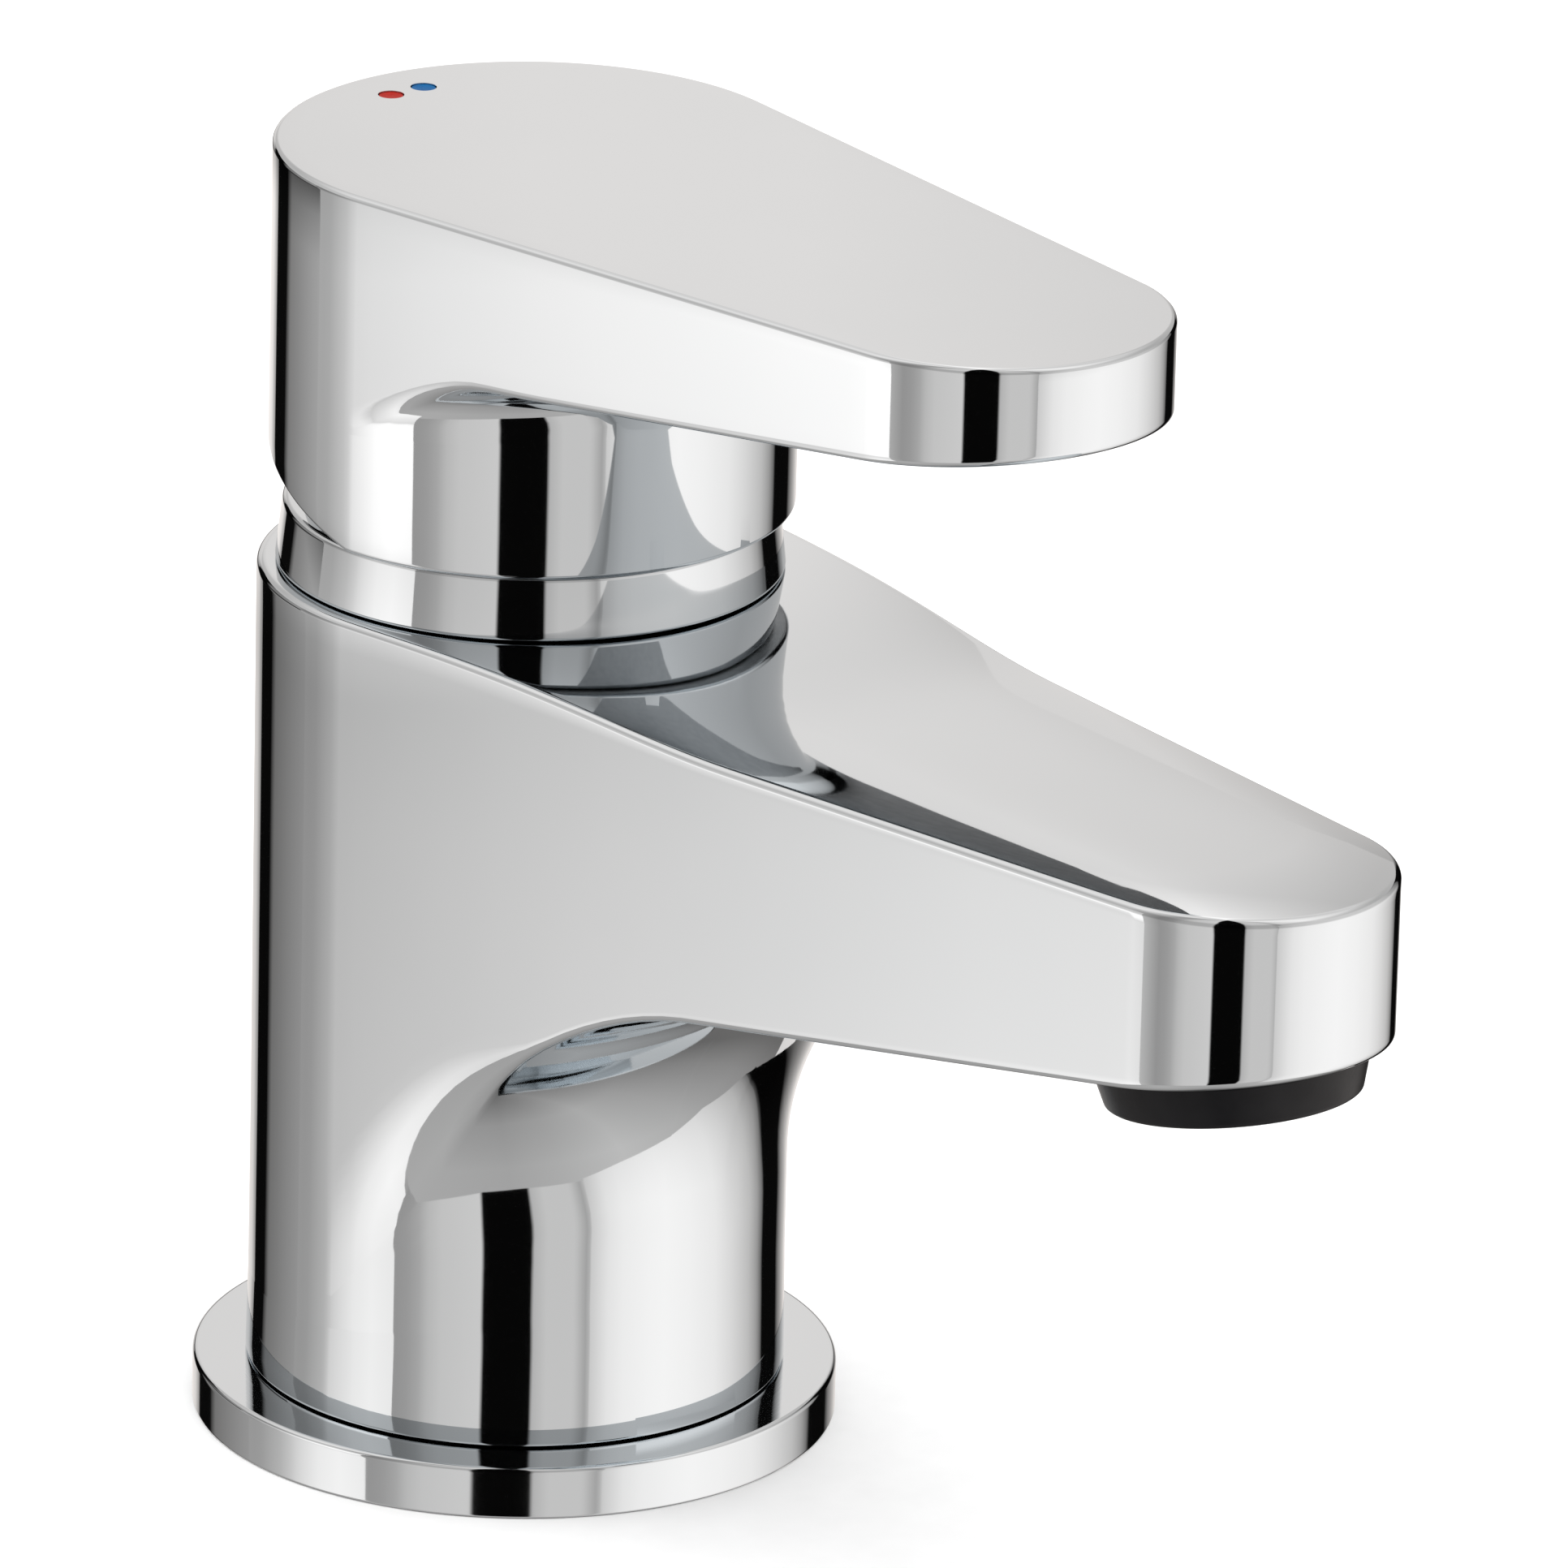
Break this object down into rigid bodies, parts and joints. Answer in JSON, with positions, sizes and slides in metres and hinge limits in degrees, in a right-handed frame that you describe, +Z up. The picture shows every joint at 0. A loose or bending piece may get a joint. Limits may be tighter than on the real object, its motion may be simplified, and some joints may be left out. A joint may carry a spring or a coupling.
{
  "type": "bathroom mixer faucet",
  "caption": "Single-lever chrome basin mixer faucet: round column with a tapering spout, teardrop lever on a ceramic cartridge, black aerator.",
  "frame": {"origin": "centre of the casting's foot, in the plane of the basin deck", "axes": "+Z up along the column; the spout and the lever point along -Y; X runs across"},
  "size_m": [0.054, 0.126, 0.1108],
  "materials": {
    "chrome_body": "mirror chrome plate over cast brass",
    "chrome_ring": "mirror chrome plate, turned face with faint lathe marks",
    "chrome_shroud": "mirror chrome plate",
    "chrome_handle": "mirror chrome plate over a zinc casting",
    "brass": "machined",
    "steel": "machined stainless",
    "black_plastic": "satin moulded",
    "grey_plastic": "moulded",
    "white_plastic": "moulded acetal",
    "pale_plastic": "moulded",
    "red_plastic": "moulded",
    "ceramic": "lapped",
    "black_rubber": "matte",
    "red_enamel": "gloss",
    "blue_enamel": "gloss"
  },
  "bodies": {
    "mixer_body": {"body_casting": "chrome_body", "base_ring": "chrome_ring", "base_gasket": "black_rubber", "column_o_ring": "black_rubber", "shroud_ring": "chrome_shroud", "retaining_nut": "brass", "cartridge_base": "grey_plastic", "cartridge_housing": "white_plastic", "hot_port_seal": "black_rubber", "cold_port_seal": "black_rubber", "outlet_port_seal": "black_rubber", "fixed_disc": "ceramic", "hot_limit_ring": "red_plastic", "aerator_housing": "black_plastic", "aerator_insert": "pale_plastic", "aerator_screen": "steel", "aerator_gasket": "black_rubber"},
    "rotor": {"cartridge_rotor": "grey_plastic", "rotor_pin": "steel"},
    "lever": {"lever_stem": "steel", "handle": "chrome_handle", "grub_screw": "steel", "screw_cap": "chrome_shroud", "red_dot": "red_enamel", "blue_dot": "blue_enamel"},
    "disc_carriage": {"disc_carrier": "white_plastic", "moving_disc": "ceramic"}
  },
  "joints": [
    {"name": "mix_swivel", "type": "hinge", "parent": "mixer_body", "child": "rotor", "pos_m": [0, 0, 0.077], "axis": [0, 0, 1], "range_deg": [-50, 50]},
    {"name": "flow_lift", "type": "hinge", "parent": "rotor", "child": "lever", "pos_m": [0, 0, 0.077], "axis": [-1, 0, 0], "range_deg": [0, 22]},
    {"name": "disc_slide", "type": "slide", "parent": "rotor", "child": "disc_carriage", "axis": [0, -1, 0], "range_m": [0, 0.0042]}
  ],
  "couplings": [
    {"joint": "disc_slide", "follows": "flow_lift", "m_per_rad": 0.0106}
  ]
}
